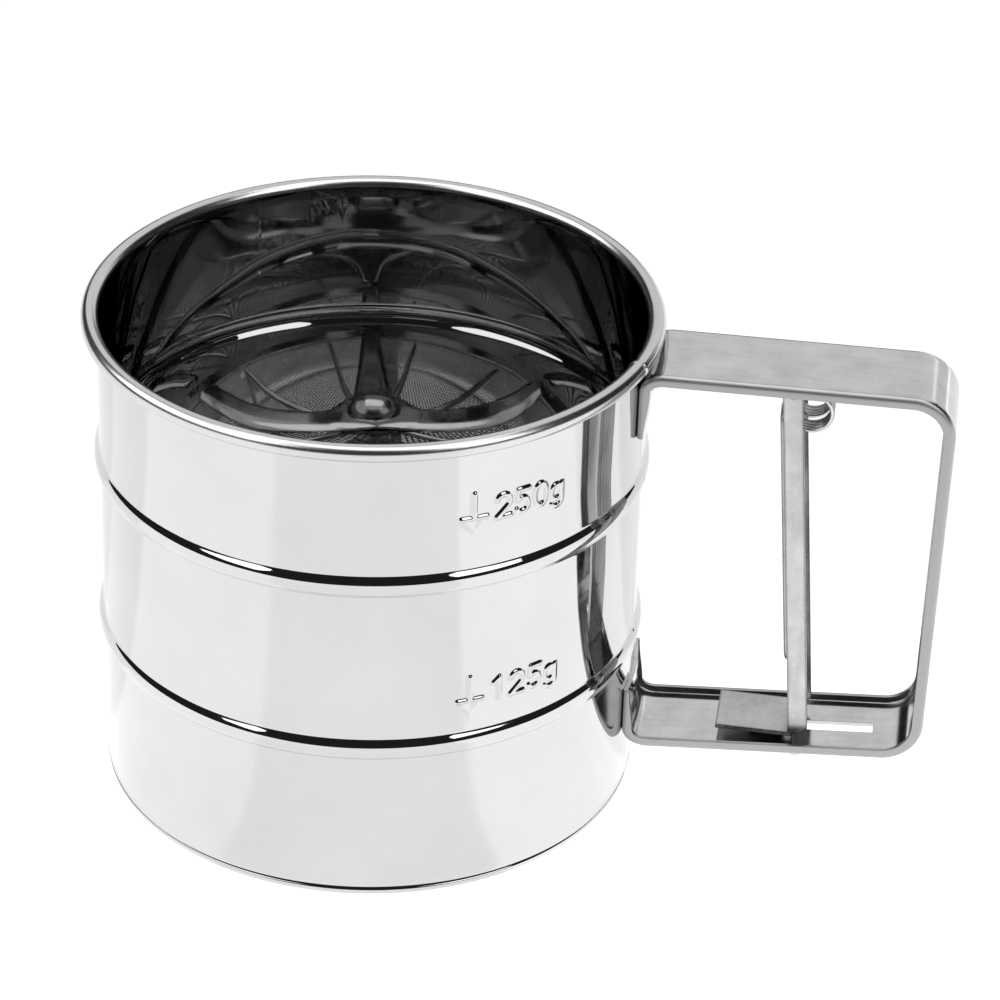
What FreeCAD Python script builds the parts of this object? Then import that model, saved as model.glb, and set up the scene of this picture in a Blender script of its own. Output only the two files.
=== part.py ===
import FreeCAD, Part

import math
import os

# Trigger flour sifter in thin stainless sheet, millimetres, +Z up.
# The cup's axis is Z, the cup stands on z = 0 and the handle lies along +X.
# Squeezing the trigger towards the handle's outer run pulls the link rod, which
# turns the agitator over the screen by a crank below it.

V = FreeCAD.Vector
X_AXIS = V(1, 0, 0)
Y_AXIS = V(0, 1, 0)
Z_AXIS = V(0, 0, 1)

# Cup: a straight sheet wall with two rolled beads, a curled rim and a hem
CUP_R = 50.0
CUP_H = 95.0
SHEET = 0.5
CURL_R = 1.6
BEAD_HEIGHTS = (31.8, 65.9)
BEAD_OUT = 1.0
BEAD_TILT = 36.0
BEAD_CREST_R = 2.5
BEAD_ROOT_R = 0.6
HEM_H = 1.1
HEM_OUT = 0.15
HEM_SOFT = 0.1
CUP_IN = CUP_R - SHEET
CURL_END = -80
HOLE_Y = 6.0
HOLE_HALF_RUN = 0.8
HOLE_R = 1.8

# Screen, its two clamp rings and the eyelet round its middle
SCREEN_Z = 12.0
SCREEN_T = 0.5
SCREEN_R = 48.8
RING_IN = 46.6
RING_T = 1.0
EYELET_IN = 3.0
EYELET_OUT = 3.6
EYELET_FLANGE = 5.2
EYELET_T = 0.35

# Bridge under the screen and the fixed axle that stands on it
BRIDGE_Z = 2.8
BRIDGE_T = 1.2
BRIDGE_W = 10.0
BRIDGE_TAB = 6.0
AXLE_R = 1.5
AXLE_HEAD_R = 3.2
AXLE_HEAD_T = 1.4
AXLE_HEAD_ROUND = 0.6
WASHER_T = 0.4
WASHER_R = 4.4
AXLE_CAP_R = 4.6
AXLE_CAP_H = 3.0
RUNNING = 0.06
AXIAL_GAP = 0.05

# Agitator: sleeve, boss, three sheet arms and six wire vanes
SLEEVE_R = 2.6
SLEEVE_TOP = 16.5
BOSS_R = 7.2
BOSS_BOTTOM = 12.95
ARM_Z = 14.4
ARM_T = 0.8
ARM_W = 9.0
ARM_REACH = 46.0
ARM_TIP_R = 2.5
ARM_FILLET = 14.0
ARM_COUNT = 3
ARM_ANGLE = 41.0
HUB_BASE_R = 8.5
HUB_TOP_R = 4.6
HUB_TOP = 16.3
VANE_R = 0.9
VANE_Z = 13.45
VANE_INNER = 6.0
VANE_REACH = 42.0

# Crank and link rod under the screen
CRANK_R = 12.0
CRANK_Z = 5.2
CRANK_T = 1.2
CRANK_W = 7.0
CRANK_PIN_R = 1.2
CRANK_PIN_TOP = 10.4
CLIP_Z = 9.5
CLIP_T = 0.5
CLIP_R = 2.6
LINK_R = 0.8
LINK_Z = 8.1
EYE_PLAY = 0.35
LINK_SIDE = 1.9
LINK_BEND = 6.0
HOOK_BEND = 1.3
HOOK_END = 2.4

# Handle: one channel strip from the cup's rim down to its foot
STRIP_T = 0.8
STRIP_HALF = 9.4
FLANGE_D = 2.0
FLANGE_ROUND = 0.35
TOP_Z = 90.2
OUTER_X_TOP = 106.0
OUTER_X_BOTTOM = 105.1
BOTTOM_Z_OUTER = 13.43
BOTTOM_Z_CUP = 10.17
CORNER_R = 8.0
TAB_BEND = 3.8
STRIP_RADII = (TAB_BEND, CORNER_R, CORNER_R, TAB_BEND)
UPPER_TAB_END = 77.0
LOWER_TAB_END = 22.6
FLANGE_END_UP = 80.0
FLANGE_END_DOWN = 19.6
SLOT_LEFT = 79.3
SLOT_RIGHT = 96.0
SLOT_HALF = 1.5

# Trigger: a channel hung on a pin under the handle's top run
PIVOT_X = 76.7
PIVOT_Z = 87.0
TRIGGER_TILT = 4.4
TRIGGER_TRAVEL = 9.2
TRIGGER_HALF = 5.9
TRIGGER_T = 0.8
WEB_X = -1.98
TRIGGER_DEPTH = 3.63
TRIGGER_LENGTH = 72.6
WEB_TOP = -2.0
EAR_R = 1.65
TRIGGER_CORNER = 1.7
PANEL_OUT = 0.8
PANEL_HALF = 3.4
PANEL_TOP = -5.0
PANEL_BOTTOM = -59.0
FOOT_LEFT = 66.6
FOOT_RIGHT = 81.0
FOOT_Z_LEFT = 15.05
FOOT_Z_RIGHT = 14.75
PIN_R = 0.7
BORE_HALF = 12.0

# Hinge bracket and torsion spring
BRACKET_T = 0.6
BRACKET_EAR_OUT = 4.4
BRACKET_EAR_T = 0.7
BRACKET_EAR_R = 1.15
BRACKET_X0 = 74.0
BRACKET_X1 = 80.0
COIL_X = 3.3
COIL_Z = -4.1
COIL_R = 3.75
COIL_WIRE = 0.42
COIL_TURNS = 3.5
COIL_PITCH = 1.0
COIL_OUTER_Y = 4.6

# Lug that carries the trigger's pull through the slot
LUG_HALF = 0.6
LUG_X0 = 80.2
LUG_X1 = 83.2
LUG_TOP = 13.9
LUG_BASE_X0 = 72.5
LUG_BASE_T = 0.75
LUG_BASE_HALF = 3.2
LUG_BASE_TOP = FOOT_Z_LEFT - TRIGGER_T - 0.13
LUG_BASE_UNDER = LUG_TOP - LUG_BASE_T + 0.1
LUG_CHAMFER = 0.9
HOOK_X = 81.7
HOOK_HOLE_R = 0.88
HOOK_CLIP_R = 1.5
HOOK_CLIP_GAP = 0.3
HOOK_CLIP_T = 0.5


def pin_swing():
    """Half the crank's swing, from the hook's travel along X."""
    arm_x = HOOK_X - PIVOT_X
    arm_z = PIVOT_Z - LINK_Z
    reach = math.hypot(arm_x, arm_z)
    start = math.atan2(arm_x, arm_z)
    travel = reach * (math.sin(start + math.radians(TRIGGER_TRAVEL)) - math.sin(start))
    return math.degrees(math.asin(travel / 2 / CRANK_R))


HALF_SWING = pin_swing()
CRANK_ANGLE = 90 + HALF_SWING


def cylinder(radius, z0, z1, x=0.0, y=0.0):
    return Part.makeCylinder(radius, z1 - z0, V(x, y, z0))


def tube(inner, outer, z0, z1, x=0.0, y=0.0):
    return cylinder(outer, z0, z1, x, y).cut(cylinder(inner, z0, z1, x, y))


def rod_y(radius, x, z, y0, y1):
    return Part.makeCylinder(radius, y1 - y0, V(x, y0, z), Y_AXIS)


def block(x0, x1, y0, y1, z0, z1):
    return Part.makeBox(x1 - x0, y1 - y0, z1 - z0, V(x0, y0, z0))


def prism_y(points, y0, y1):
    """Extrude an outline given in X and Z from y0 to y1."""
    corners = [V(x, y0, z) for x, z in points]
    wire = Part.makePolygon(corners + corners[:1])
    return Part.Face(wire).extrude(V(0, y1 - y0, 0))


def line(a, b):
    return Part.LineSegment(a, b).toShape()


def arc(centre, radius, start, end, up=Z_AXIS):
    """Arc in the plane of X and up, angles in degrees from +X."""

    def at(angle):
        turn = math.radians(angle)
        return centre + X_AXIS * (radius * math.cos(turn)) + up * (radius * math.sin(turn))

    return Part.Arc(at(start), at((start + end) / 2), at(end)).toShape()


def rounded_path(points, radii):
    """Edges along the points, with an arc of the given radius at each inner point."""
    edges = []
    last = points[0]
    for here, before, after, radius in zip(points[1:-1], points[:-2], points[2:], radii):
        back = (before - here).normalize()
        ahead = (after - here).normalize()
        half = back.getAngle(ahead) / 2
        cut = radius / math.tan(half)
        middle = (back + ahead).normalize()
        centre = here + middle * (radius / math.sin(half))
        start = here + back * cut
        end = here + ahead * cut
        edges.append(line(last, start))
        edges.append(Part.Arc(start, centre - middle * radius, end).toShape())
        last = end
    edges.append(line(last, points[-1]))
    return edges


def swept_round(edges, radius):
    """Round wire along a path that begins with a straight edge."""
    path = Part.Wire(edges)
    start = edges[0].Vertexes[0].Point
    along = edges[0].tangentAt(edges[0].FirstParameter)
    ring = Part.Wire(Part.makeCircle(radius, start, along))
    return path.makePipeShell([ring], True, False)


# ---------------------------------------------------------------- cup


def bead_half():
    """Half the bead's height, from its arcs and its straight flank."""
    tilt = math.radians(BEAD_TILT)
    bends = BEAD_CREST_R + BEAD_ROOT_R
    flank_out = BEAD_OUT - bends * (1 - math.cos(tilt))
    return bends * math.sin(tilt) + flank_out / math.tan(tilt)


def wall_edges(inset):
    """The wall's line from the hem up to the curl, moved inwards by inset."""
    r = CUP_R - inset
    half = bead_half()
    root = BEAD_ROOT_R + inset
    crest = BEAD_CREST_R - inset
    edges = []
    z = HEM_H
    for height in BEAD_HEIGHTS:
        low = V(CUP_R + BEAD_ROOT_R, 0, height - half)
        high = V(CUP_R + BEAD_ROOT_R, 0, height + half)
        middle = V(CUP_R + BEAD_OUT - BEAD_CREST_R, 0, height)
        root_low = arc(low, root, 180, 180 - BEAD_TILT)
        top = arc(middle, crest, -BEAD_TILT, BEAD_TILT)
        root_high = arc(high, root, 180 + BEAD_TILT, 180)
        edges.append(line(V(r, 0, z), V(r, 0, height - half)))
        edges.append(root_low)
        edges.append(line(root_low.Vertexes[-1].Point, top.Vertexes[0].Point))
        edges.append(top)
        edges.append(line(top.Vertexes[-1].Point, root_high.Vertexes[0].Point))
        edges.append(root_high)
        z = height + half
    edges.append(line(V(r, 0, z), V(r, 0, CUP_H - CURL_R)))
    return edges


def cup_body():
    centre = V(CUP_IN + CURL_R, 0, CUP_H - CURL_R)
    inner_curl = arc(centre, CURL_R, 180, CURL_END)
    outer_curl = arc(centre, CURL_R - SHEET, CURL_END, 180)
    inner = wall_edges(SHEET)
    outer = wall_edges(0)
    tip = line(inner_curl.Vertexes[-1].Point, outer_curl.Vertexes[0].Point)
    hem_r = CUP_R + HEM_OUT
    hem_corners = [
        V(CUP_R, 0, HEM_H),
        V(hem_r, 0, HEM_H - HEM_OUT),
        V(hem_r, 0, HEM_SOFT),
        V(hem_r - HEM_SOFT, 0, 0),
        V(CUP_IN + HEM_SOFT, 0, 0),
        V(CUP_IN, 0, HEM_SOFT),
        V(CUP_IN, 0, HEM_H),
    ]
    hem = [line(a, b) for a, b in zip(hem_corners[:-1], hem_corners[1:])]
    wire = Part.Wire(Part.__sortEdges__(inner + [inner_curl, tip, outer_curl] + outer + hem))
    face = Part.Face(wire)
    halves = [face.revolve(V(0, 0, 0), Z_AXIS, turn) for turn in (180, -180)]
    return halves[0].fuse(halves[1]).cut(link_hole())


def link_hole():
    """Oblong hole in the skirt that the link rod runs through."""
    x0 = CUP_R - 5
    x1 = CUP_R + 5
    z = LINK_Z
    ends_y = (HOLE_Y - HOLE_HALF_RUN, HOLE_Y + HOLE_HALF_RUN)
    ends = [Part.makeCylinder(HOLE_R, x1 - x0, V(x0, y, z), X_AXIS) for y in ends_y]
    middle = block(x0, x1, ends_y[0], ends_y[1], z - HOLE_R, z + HOLE_R)
    return middle.fuse(ends)


# ---------------------------------------------------------------- screen and axle


def screen_mesh():
    half = SCREEN_T / 2
    return tube(EYELET_OUT, SCREEN_R, SCREEN_Z - half, SCREEN_Z + half)


def screen_ring(side):
    """Clamp ring above (side 1) or below (side -1) the screen's edge."""
    near = SCREEN_Z + side * SCREEN_T / 2
    far = near + side * RING_T
    return tube(RING_IN, CUP_IN, min(near, far), max(near, far))


def screen_eyelet():
    half = SCREEN_T / 2
    bottom = SCREEN_Z - half - EYELET_T
    top = SCREEN_Z + half + EYELET_T
    neck = tube(EYELET_IN, EYELET_OUT, bottom, top)
    lower = tube(EYELET_IN, EYELET_FLANGE, bottom, bottom + EYELET_T)
    upper = tube(EYELET_IN, EYELET_FLANGE, top - EYELET_T, top)
    return neck.fuse([lower, upper])


def bridge():
    """Flat bar across the skirt, its ends turned up against the wall."""
    top = BRIDGE_Z + BRIDGE_T
    half = BRIDGE_W / 2
    bar = block(-half, half, -CUP_R, CUP_R, BRIDGE_Z, top)
    bar = bar.common(cylinder(CUP_IN, BRIDGE_Z, top))
    band = tube(CUP_IN - BRIDGE_T, CUP_IN, BRIDGE_Z, BRIDGE_Z + BRIDGE_TAB)
    tabs = band.common(block(-half, half, -CUP_R, CUP_R, BRIDGE_Z, BRIDGE_Z + BRIDGE_TAB))
    return bar.fuse(tabs).cut(cylinder(AXLE_R, BRIDGE_Z, top)).removeSplitter()


def axle():
    cap_z = SLEEVE_TOP + WASHER_T + AXIAL_GAP
    stem = cylinder(AXLE_R, BRIDGE_Z, cap_z + AXLE_CAP_H / 2)
    head = cylinder(AXLE_HEAD_R, BRIDGE_Z - AXLE_HEAD_T, BRIDGE_Z)
    head = head.makeFillet(AXLE_HEAD_ROUND, [head.Edges[2]])
    return stem.fuse(head).removeSplitter()


def axle_cap():
    cap_z = SLEEVE_TOP + WASHER_T + AXIAL_GAP
    dome_r = (AXLE_CAP_R**2 + AXLE_CAP_H**2) / (2 * AXLE_CAP_H)
    ball = Part.makeSphere(dome_r, V(0, 0, cap_z + AXLE_CAP_H - dome_r))
    dome = ball.common(cylinder(AXLE_CAP_R + 1, cap_z, cap_z + AXLE_CAP_H + 1))
    return dome.cut(cylinder(AXLE_R, cap_z, cap_z + AXLE_CAP_H / 2))


def thrust_washer():
    z = BRIDGE_Z + BRIDGE_T
    return tube(AXLE_R, WASHER_R, z, z + WASHER_T)


def cap_washer():
    z = SLEEVE_TOP + AXIAL_GAP
    return tube(AXLE_R, WASHER_R, z, z + WASHER_T)


# ---------------------------------------------------------------- agitator


def hub_sleeve():
    bottom = BRIDGE_Z + BRIDGE_T + WASHER_T + AXIAL_GAP
    return tube(AXLE_R + RUNNING, SLEEVE_R, bottom, SLEEVE_TOP)


def vane_angles():
    """Two vanes to each gap between arms, 30 degrees either side of every arm."""
    step = 360 / ARM_COUNT
    sides = (-step / 4, step / 4)
    return [ARM_ANGLE + arm * step + side for arm in range(ARM_COUNT) for side in sides]


def vane(angle):
    rod = Part.makeCylinder(VANE_R, VANE_REACH - VANE_R - VANE_INNER, V(VANE_INNER, 0, VANE_Z), X_AXIS)
    tip = Part.makeSphere(VANE_R, V(VANE_REACH - VANE_R, 0, VANE_Z))
    shape = rod.fuse(tip).removeSplitter()
    shape.rotate(V(0, 0, 0), Z_AXIS, angle)
    return shape


def vanes():
    return Part.makeCompound([vane(angle) for angle in vane_angles()])


def vane_boss():
    boss = tube(SLEEVE_R, BOSS_R, BOSS_BOTTOM, ARM_Z)
    return boss.cut(vanes())


def agitator_arms():
    """Three-armed sheet stamping with a dished hub, wide fillets between its arms."""
    top = ARM_Z + ARM_T
    half = ARM_W / 2
    plate = cylinder(HUB_BASE_R, ARM_Z, top)
    for arm in range(ARM_COUNT):
        bar = block(0, ARM_REACH, -half, half, ARM_Z, top)
        corners = [e for e in bar.Edges if e.Length < ARM_T + 0.01 and e.CenterOfMass.x > half]
        bar = bar.makeFillet(ARM_TIP_R, corners)
        bar.rotate(V(0, 0, 0), Z_AXIS, ARM_ANGLE + arm * 360 / ARM_COUNT)
        plate = plate.fuse(bar)
    plate = plate.fuse(arm_fillets(top)).removeSplitter()
    hub = Part.makeCone(HUB_BASE_R, HUB_TOP_R, HUB_TOP - top, V(0, 0, top))
    plate = plate.fuse(hub)
    return plate.cut(cylinder(SLEEVE_R, ARM_Z, HUB_TOP)).removeSplitter()


def arm_fillets(top):
    """Webs that blend each pair of arms with an arc of ARM_FILLET."""
    half_gap = math.radians(180 / ARM_COUNT)
    reach = (ARM_FILLET + ARM_W / 2) / math.sin(half_gap)
    tangent = reach * math.cos(half_gap)
    webs = []
    for gap in range(ARM_COUNT):
        turn = ARM_ANGLE + 180 / ARM_COUNT + gap * 360 / ARM_COUNT
        a = math.radians(turn)
        centre = V(reach * math.cos(a), reach * math.sin(a), ARM_Z)
        corners = [V(0, 0, ARM_Z)]
        for side in (-1, 1):
            b = a + side * half_gap
            corners.append(V(tangent * math.cos(b), tangent * math.sin(b), ARM_Z))
            if side < 0:
                corners.append(centre)
        face = Part.Face(Part.makePolygon(corners + corners[:1]))
        web = face.extrude(V(0, 0, top - ARM_Z))
        webs.append(web.cut(cylinder(ARM_FILLET, ARM_Z, top, centre.x, centre.y)))
    return webs


def crank_point():
    turn = math.radians(CRANK_ANGLE)
    return CRANK_R * math.cos(turn), CRANK_R * math.sin(turn)


def crank_arm():
    top = CRANK_Z + CRANK_T
    half = CRANK_W / 2
    bar = block(0, CRANK_R, -half, half, CRANK_Z, top)
    shape = bar.fuse([cylinder(half, CRANK_Z, top), cylinder(half, CRANK_Z, top, CRANK_R)])
    shape = shape.cut(cylinder(SLEEVE_R, CRANK_Z, top))
    shape = shape.cut(cylinder(CRANK_PIN_R, CRANK_Z, top, CRANK_R)).removeSplitter()
    shape.rotate(V(0, 0, 0), Z_AXIS, CRANK_ANGLE)
    return shape


def crank_pin():
    x, y = crank_point()
    return cylinder(CRANK_PIN_R, CRANK_Z, CRANK_PIN_TOP, x, y)


def crank_clip():
    x, y = crank_point()
    return tube(CRANK_PIN_R, CLIP_R, CLIP_Z, CLIP_Z + CLIP_T, x, y)


# ---------------------------------------------------------------- link rod


def eye_centre():
    """Middle of the eye: level with the pin along X, halfway along the pin's side travel."""
    side_travel = CRANK_R * (1 - math.cos(math.radians(HALF_SWING)))
    x, y = crank_point()
    return x, y + side_travel / 2, side_travel / 2


def link_rod():
    x, y, half_slip = eye_centre()
    bend = CRANK_PIN_R + EYE_PLAY + LINK_R
    top = V(x, y + half_slip, LINK_Z)
    bottom = V(x, y - half_slip, LINK_Z)
    eye_path = [
        line(bottom + X_AXIS * bend, top + X_AXIS * bend),
        arc(top, bend, 0, 180, Y_AXIS),
        line(top - X_AXIS * bend, bottom - X_AXIS * bend),
        arc(bottom, bend, 180, 360, Y_AXIS),
    ]
    eye = swept_round(eye_path, LINK_R)
    stem_start = V(x + bend, y, LINK_Z)
    points = [
        stem_start,
        V(x + bend + 4, y, LINK_Z),
        V(HOOK_X - 7, LINK_SIDE, LINK_Z),
        V(HOOK_X, LINK_SIDE, LINK_Z),
        V(HOOK_X, -HOOK_END, LINK_Z),
    ]
    stem = swept_round(rounded_path(points, [LINK_BEND, LINK_BEND, HOOK_BEND]), LINK_R)
    inside = stem.common(slot_prism(bottom, top, CRANK_PIN_R + EYE_PLAY))
    return eye.fuse(stem.cut(inside)).removeSplitter()


def slot_prism(bottom, top, radius):
    z0 = LINK_Z - 2
    z1 = LINK_Z + 2
    ends = [cylinder(radius, z0, z1, p.x, p.y) for p in (bottom, top)]
    middle = block(bottom.x - radius, bottom.x + radius, bottom.y, top.y, z0, z1)
    return middle.fuse(ends)


def hook_clip():
    y1 = -LUG_HALF - HOOK_CLIP_GAP
    return rod_y(HOOK_CLIP_R, HOOK_X, LINK_Z, y1 - HOOK_CLIP_T, y1).cut(
        rod_y(LINK_R, HOOK_X, LINK_Z, y1 - HOOK_CLIP_T, y1)
    )


# ---------------------------------------------------------------- handle


def strip_face(points, radii, depth):
    """Face between a path in the XZ plane and the same path moved inwards by depth."""
    outer = rounded_path(points, radii)
    normals = []
    for a, b in zip(points[:-1], points[1:]):
        along = (b - a).normalize()
        normals.append(V(along.z, 0, -along.x))
    inside = [points[0] + normals[0] * depth]
    for here, n0, n1 in zip(points[1:-1], normals[:-1], normals[1:]):
        inside.append(here + (n0 + n1) * (depth / (1 + n0.dot(n1))))
    inside.append(points[-1] + normals[-1] * depth)
    inner = rounded_path(inside, [radius - depth for radius in radii])
    caps = [line(points[0], inside[0]), line(points[-1], inside[-1])]
    return Part.Face(Part.Wire(Part.__sortEdges__(outer + inner + caps)))


def strip_band(points, radii, depth, y0, y1):
    face = strip_face(points, radii, depth)
    face.translate(V(0, y0, 0))
    return face.extrude(V(0, y1 - y0, 0))


def strip_points(up_z, down_z):
    """Outer path of the strip, from up_z on its upper tab round to down_z on its lower one."""
    return [
        V(CUP_R, 0, up_z),
        V(CUP_R, 0, TOP_Z),
        V(OUTER_X_TOP, 0, TOP_Z),
        V(OUTER_X_BOTTOM, 0, BOTTOM_Z_OUTER),
        V(CUP_R, 0, BOTTOM_Z_CUP),
        V(CUP_R, 0, down_z),
    ]


def flange(side):
    """Turned-in edge of the strip, with softened corners."""
    y0 = side * (STRIP_HALF - STRIP_T)
    y1 = side * STRIP_HALF
    bar = strip_band(strip_points(FLANGE_END_UP, FLANGE_END_DOWN), STRIP_RADII, FLANGE_D, y0, y1)
    long_edges = [e for e in bar.Edges if abs(e.CenterOfMass.y - y1) < 0.01]
    return bar.makeFillet(FLANGE_ROUND, long_edges)


def tab_seat(z0, z1):
    """Back of a tab, shaped to the cup's round wall."""
    half = STRIP_HALF - STRIP_T / 2
    return block(CUP_R - 2, CUP_R, -half, half, z0, z1).cut(cylinder(CUP_R, z0, z1))


def handle():
    half = STRIP_HALF - STRIP_T / 2
    web = strip_band(strip_points(UPPER_TAB_END, LOWER_TAB_END), STRIP_RADII, STRIP_T, -half, half)
    seats = [
        tab_seat(UPPER_TAB_END, TOP_Z - TAB_BEND),
        tab_seat(BOTTOM_Z_CUP + TAB_BEND, LOWER_TAB_END),
    ]
    strip = web.fuse([flange(-1), flange(1)] + seats)
    slot = block(SLOT_LEFT, SLOT_RIGHT, -SLOT_HALF, SLOT_HALF, 0, TOP_Z / 2)
    return strip.cut(slot).removeSplitter()


# ---------------------------------------------------------------- trigger


def place_trigger(shape):
    """Move a shape drawn upright with its pivot at the origin to its released place."""
    shape.rotate(V(0, 0, 0), Y_AXIS, -TRIGGER_TILT)
    shape.translate(V(PIVOT_X, 0, PIVOT_Z))
    return shape


def trigger():
    far_x = WEB_X + TRIGGER_DEPTH
    inner = TRIGGER_HALF - TRIGGER_T
    web = block(WEB_X, WEB_X + TRIGGER_T, -TRIGGER_HALF, TRIGGER_HALF, -TRIGGER_LENGTH, WEB_TOP)
    cheeks = []
    for side in (-1, 1):
        y0 = min(side * inner, side * TRIGGER_HALF)
        cheek = block(WEB_X, far_x, y0, y0 + TRIGGER_T, -TRIGGER_LENGTH, 0)
        low = [e for e in cheek.Edges if abs(e.CenterOfMass.z + TRIGGER_LENGTH) < 0.01 and e.Length < 1]
        cheek = cheek.makeFillet(TRIGGER_CORNER, low)
        cheeks.append(cheek.fuse(rod_y(EAR_R, 0, 0, y0, y0 + TRIGGER_T)))
    shape = web.fuse(cheeks + [trigger_panel()])
    shape = shape.cut(rod_y(PIN_R + RUNNING, 0, 0, -TRIGGER_HALF, TRIGGER_HALF))
    shape = place_trigger(shape.removeSplitter())
    return shape.fuse(foot_tab()).removeSplitter()


def trigger_panel():
    """Long pressed panel that stands proud of the web's cup side."""
    panel = block(WEB_X - PANEL_OUT, WEB_X + 0.1, -PANEL_HALF, PANEL_HALF, PANEL_BOTTOM, PANEL_TOP)
    upright = [e for e in panel.Edges if e.Length < PANEL_OUT + 0.2]
    panel = panel.makeFillet(PANEL_HALF - 0.4, upright)
    rim = [e for e in panel.Edges if abs(e.BoundBox.XMax - (WEB_X - PANEL_OUT)) < 0.01]
    return panel.makeFillet(PANEL_OUT * 0.8, rim)


def foot_tab():
    """Tab turned from the web's lower end towards the cup."""
    outline = [
        (FOOT_LEFT, FOOT_Z_LEFT),
        (FOOT_RIGHT, FOOT_Z_RIGHT),
        (FOOT_RIGHT, FOOT_Z_RIGHT - TRIGGER_T),
        (FOOT_LEFT, FOOT_Z_LEFT - TRIGGER_T),
    ]
    return prism_y(outline, -TRIGGER_HALF, TRIGGER_HALF)


def drive_lug():
    """Bent lug under the foot: its blade hangs through the slot and holds the hook."""
    blade = prism_y(
        [
            (LUG_BASE_X0, LUG_BASE_TOP),
            (LUG_X0, LUG_TOP),
            (FOOT_RIGHT, LUG_TOP),
            (LUG_X1, LUG_TOP - LUG_CHAMFER),
            (LUG_X1, LINK_Z),
            (LUG_X0, LINK_Z),
            (LUG_X0, LUG_TOP - LUG_BASE_T),
            (LUG_BASE_X0, LUG_BASE_UNDER),
        ],
        -LUG_HALF,
        LUG_HALF,
    )
    end_x = (LUG_X0 + LUG_X1) / 2
    end = rod_y((LUG_X1 - LUG_X0) / 2, end_x, LINK_Z, -LUG_HALF, LUG_HALF)
    base = prism_y(
        [
            (LUG_BASE_X0, LUG_BASE_TOP),
            (LUG_X0, LUG_TOP),
            (LUG_X0, LUG_TOP - LUG_BASE_T),
            (LUG_BASE_X0, LUG_BASE_UNDER),
        ],
        -LUG_HALF,
        LUG_BASE_HALF,
    )
    shape = blade.fuse([end, base])
    return shape.cut(rod_y(HOOK_HOLE_R, HOOK_X, LINK_Z, -BORE_HALF, BORE_HALF)).removeSplitter()


# ---------------------------------------------------------------- hinge and spring


def hinge_bracket():
    under = TOP_Z - STRIP_T
    base = block(BRACKET_X0, BRACKET_X1, -BRACKET_EAR_OUT, BRACKET_EAR_OUT, under - BRACKET_T, under)
    ears = []
    for side in (-1, 1):
        y0 = min(side * BRACKET_EAR_OUT, side * (BRACKET_EAR_OUT - BRACKET_EAR_T))
        y1 = y0 + BRACKET_EAR_T
        leg = block(PIVOT_X - BRACKET_EAR_R, PIVOT_X + BRACKET_EAR_R, y0, y1, PIVOT_Z, under)
        ears.append(leg.fuse(rod_y(BRACKET_EAR_R, PIVOT_X, PIVOT_Z, y0, y1)))
    shape = base.fuse(ears)
    return shape.cut(rod_y(PIN_R, PIVOT_X, PIVOT_Z, -BORE_HALF, BORE_HALF)).removeSplitter()


def hinge_pin():
    return rod_y(PIN_R, PIVOT_X, PIVOT_Z, -TRIGGER_HALF, TRIGGER_HALF)


def return_spring():
    """The two coils of the double torsion spring, side by side in the trigger."""
    x = PIVOT_X + COIL_X
    z = PIVOT_Z + COIL_Z
    coils = []
    for side in (-1, 1):
        height = COIL_TURNS * COIL_PITCH
        path = Part.makeHelix(COIL_PITCH, height, COIL_R)
        ring = Part.Wire(Part.makeCircle(COIL_WIRE, V(COIL_R, 0, 0), Y_AXIS))
        coil = Part.Wire(path).makePipeShell([ring], True, True)
        coil.rotate(V(0, 0, 0), X_AXIS, -90)
        coil.translate(V(x, COIL_OUTER_Y - height, z))
        if side < 0:
            coil = coil.mirror(V(0, 0, 0), Y_AXIS)
        coils.append(coil)
    return Part.makeCompound(coils)


# ---------------------------------------------------------------- output

NODES = {
    "cup_body": cup_body,
    "screen_mesh": screen_mesh,
    "screen_ring_upper": lambda: screen_ring(1),
    "screen_ring_lower": lambda: screen_ring(-1),
    "screen_eyelet": screen_eyelet,
    "under_bridge": bridge,
    "axle_stud": axle,
    "axle_cap": axle_cap,
    "thrust_washer": thrust_washer,
    "cap_washer": cap_washer,
    "handle": handle,
    "hinge_bracket": hinge_bracket,
    "hinge_pin": hinge_pin,
    "trigger": trigger,
    "drive_lug": drive_lug,
    "return_spring": return_spring,
    "link_rod": link_rod,
    "hook_clip": hook_clip,
    "hub_sleeve": hub_sleeve,
    "vane_boss": vane_boss,
    "agitator_arms": agitator_arms,
    "agitator_vanes": vanes,
    "crank_arm": crank_arm,
    "crank_pin": crank_pin,
    "crank_clip": crank_clip,
}


def main():
    os.makedirs("parts", exist_ok=True)
    for name, build in NODES.items():
        shape = build()
        if not shape.isValid():
            print(name, "is not a valid shape")
        shape.exportStep(os.path.join("parts", name + ".step"))
        box = shape.BoundBox
        solids = len(shape.Solids)
        print(f"{name}: {solids} solid, {shape.Volume:.1f} mm3, z {box.ZMin:.2f} to {box.ZMax:.2f}")


main()
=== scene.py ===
import math

import bmesh
import bpy
from mathutils import Matrix, Vector


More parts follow.
